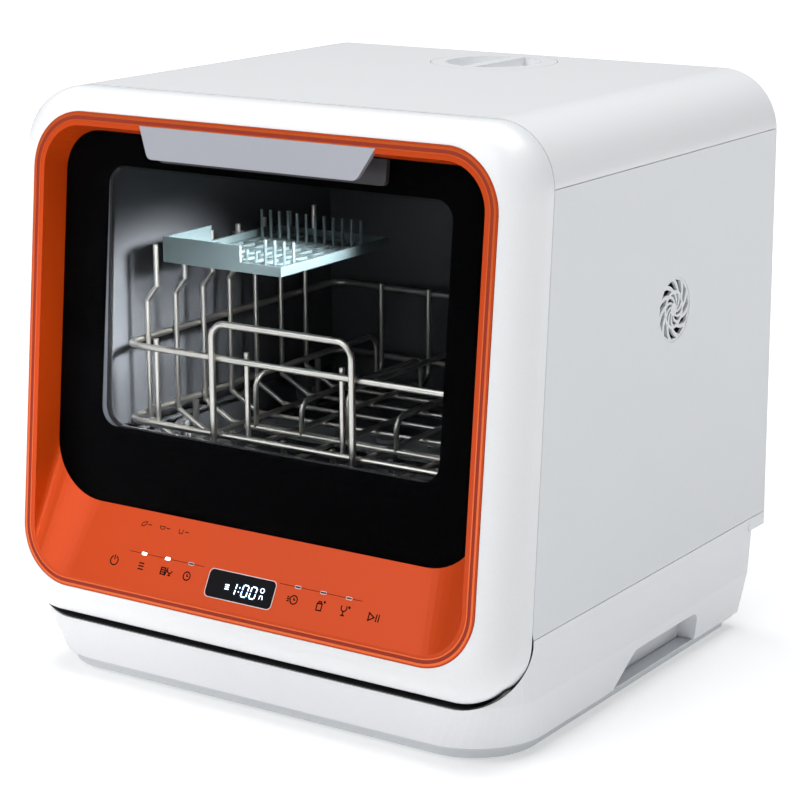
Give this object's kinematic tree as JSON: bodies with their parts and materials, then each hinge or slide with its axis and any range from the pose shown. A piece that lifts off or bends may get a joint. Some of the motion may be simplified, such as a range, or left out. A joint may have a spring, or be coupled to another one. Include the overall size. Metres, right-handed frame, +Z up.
{
  "type": "countertop dishwasher",
  "caption": "Free-standing countertop dishwasher with a water tank, a drop-down glazed door, a roll-out wire basket, a cutlery tray and a top filler cap.",
  "frame": {"origin": "middle of the footprint of the bounding box, on the surface that the feet stand on", "axes": "+X to the right seen from the front, the door faces -Y, +Z up"},
  "size_m": [0.435, 0.42, 0.435],
  "materials": {
    "white_shell": "semi-gloss white",
    "grey_plastic": "moulded, satin",
    "dark_plastic": "moulded, matt",
    "copper_panel": "metallic copper-orange lacquer",
    "tinted_glass": "polished",
    "clear_glass": "polished",
    "mask_print": "black print behind the glass",
    "handle_silver": "satin silver",
    "tub_grey": "moulded light grey",
    "liner_grey": "moulded light grey",
    "rubber_grey": "soft",
    "wire_steel": "stainless wire",
    "tray_plastic": "slate grey",
    "arm_plastic": "moulded grey",
    "steel": "pressed steel",
    "board_green": "circuit board",
    "tank_plastic": "translucent polypropylene",
    "led_white": "diffusing",
    "display_black": "smoked window"
  },
  "bodies": {
    "housing": {"base": "white_shell", "bottom_plate": "grey_plastic", "feet": "rubber_grey", "top_cover": "white_shell", "side_panel_left": "white_shell", "side_panel_right": "white_shell", "vent_grille": "white_shell", "back_panel": "grey_plastic", "sill_trim": "dark_plastic", "tub": "tub_grey", "tub_gasket": "rubber_grey", "roller_rails": "tub_grey", "sump": "dark_plastic", "wash_pump": "dark_plastic", "drain_pump": "dark_plastic", "heater": "steel", "water_tank": "tank_plastic", "filler_duct": "tank_plastic", "fan_housing": "dark_plastic", "inlet_connector": "grey_plastic", "drain_connector": "grey_plastic", "cord_gland": "dark_plastic", "hinge_brackets": "steel", "hinge_pins": "steel", "door_lock": "dark_plastic", "spray_hub": "arm_plastic", "power_board": "board_green"},
    "door": {"door_shell": "white_shell", "front_panel": "copper_panel", "door_glass": "tinted_glass", "glass_mask": "mask_print", "door_liner": "liner_grey", "inner_glass": "clear_glass", "inner_glass_seal": "rubber_grey", "handle": "handle_silver", "handle_pocket": "grey_plastic", "display_window": "display_black", "led_lenses": "led_white", "control_board": "board_green", "hinge_arms": "steel", "detergent_dispenser": "liner_grey", "door_strike": "steel"},
    "basket": {"rack": "wire_steel", "side_wires": "wire_steel", "front_wires": "wire_steel", "floor_wires": "wire_steel", "plate_tines": "wire_steel", "roller_axles": "wire_steel"},
    "lid": {"dispenser_lid": "arm_plastic"},
    "wheel_front_left": {"roller_front_left": "arm_plastic"},
    "wheel_front_right": {"roller_front_right": "arm_plastic"},
    "wheel_rear_left": {"roller_rear_left": "arm_plastic"},
    "wheel_rear_right": {"roller_rear_right": "arm_plastic"},
    "tray": {"cutlery_tray": "tray_plastic"},
    "spray": {"spray_arm": "arm_plastic"},
    "strainer": {"filter": "steel"},
    "cap_ring": {"cap_seal": "rubber_grey"},
    "cap": {"filler_cap": "white_shell"},
    "rotor": {"fan_rotor": "dark_plastic"}
  },
  "joints": [
    {"name": "door_hinge", "type": "hinge", "parent": "housing", "child": "door", "pos_m": [0, -0.17816, 0.0916], "axis": [1, 0, 0], "range_deg": [0, 94.5]},
    {"name": "rack_slide", "type": "slide", "parent": "housing", "child": "basket", "axis": [0, -1, 0], "range_m": [0, 0.15]},
    {"name": "wheel_front_left_spin", "type": "hinge", "parent": "basket", "child": "wheel_front_left", "pos_m": [-0.153, -0.06442, 0.16], "axis": [1, 0, 0], "range_deg": [0, 664]},
    {"name": "wheel_rear_left_spin", "type": "hinge", "parent": "basket", "child": "wheel_rear_left", "pos_m": [-0.153, 0.09558, 0.16], "axis": [1, 0, 0], "range_deg": [0, 664]},
    {"name": "wheel_front_right_spin", "type": "hinge", "parent": "basket", "child": "wheel_front_right", "pos_m": [0.153, -0.06442, 0.16], "axis": [1, 0, 0], "range_deg": [0, 664]},
    {"name": "wheel_rear_right_spin", "type": "hinge", "parent": "basket", "child": "wheel_rear_right", "pos_m": [0.153, 0.09558, 0.16], "axis": [1, 0, 0], "range_deg": [0, 664]},
    {"name": "tray_lift", "type": "slide", "parent": "basket", "child": "tray", "axis": [0, 0, 1], "range_m": [0, 0.035]},
    {"name": "spray_spin", "type": "hinge", "parent": "housing", "child": "spray", "pos_m": [0, -0.01216, 0.158], "axis": [0, 0, 1], "continuous": true},
    {"name": "filter_turn", "type": "hinge", "parent": "housing", "child": "strainer", "pos_m": [0.072, -0.01216, 0.14], "axis": [0, 0, 1], "range_deg": [0, 45]},
    {"name": "cap_lift", "type": "slide", "parent": "housing", "child": "cap_ring", "axis": [0, 0, 1], "range_m": [0, 0.025]},
    {"name": "cap_turn", "type": "hinge", "parent": "cap_ring", "child": "cap", "pos_m": [0.003, 0.13, 0.43], "axis": [0, 0, 1], "range_deg": [0, 90]},
    {"name": "lid_hinge", "type": "hinge", "parent": "door", "child": "lid", "pos_m": [-0.013, -0.15796, 0.15331], "axis": [-1, 0, 0], "range_deg": [0, 90]},
    {"name": "fan_spin", "type": "hinge", "parent": "housing", "child": "rotor", "pos_m": [0.205, 0.0265, 0.2827], "axis": [1, 0, 0], "continuous": true}
  ],
  "couplings": [
    {"joint": "rack_slide", "follows": "door_hinge", "m_per_rad": 0.0909},
    {"joint": "wheel_front_left_spin", "follows": "door_hinge", "ratio": 6.9923},
    {"joint": "wheel_rear_left_spin", "follows": "door_hinge", "ratio": 6.9923},
    {"joint": "wheel_front_right_spin", "follows": "door_hinge", "ratio": 6.9923},
    {"joint": "wheel_rear_right_spin", "follows": "door_hinge", "ratio": 6.9923}
  ]
}
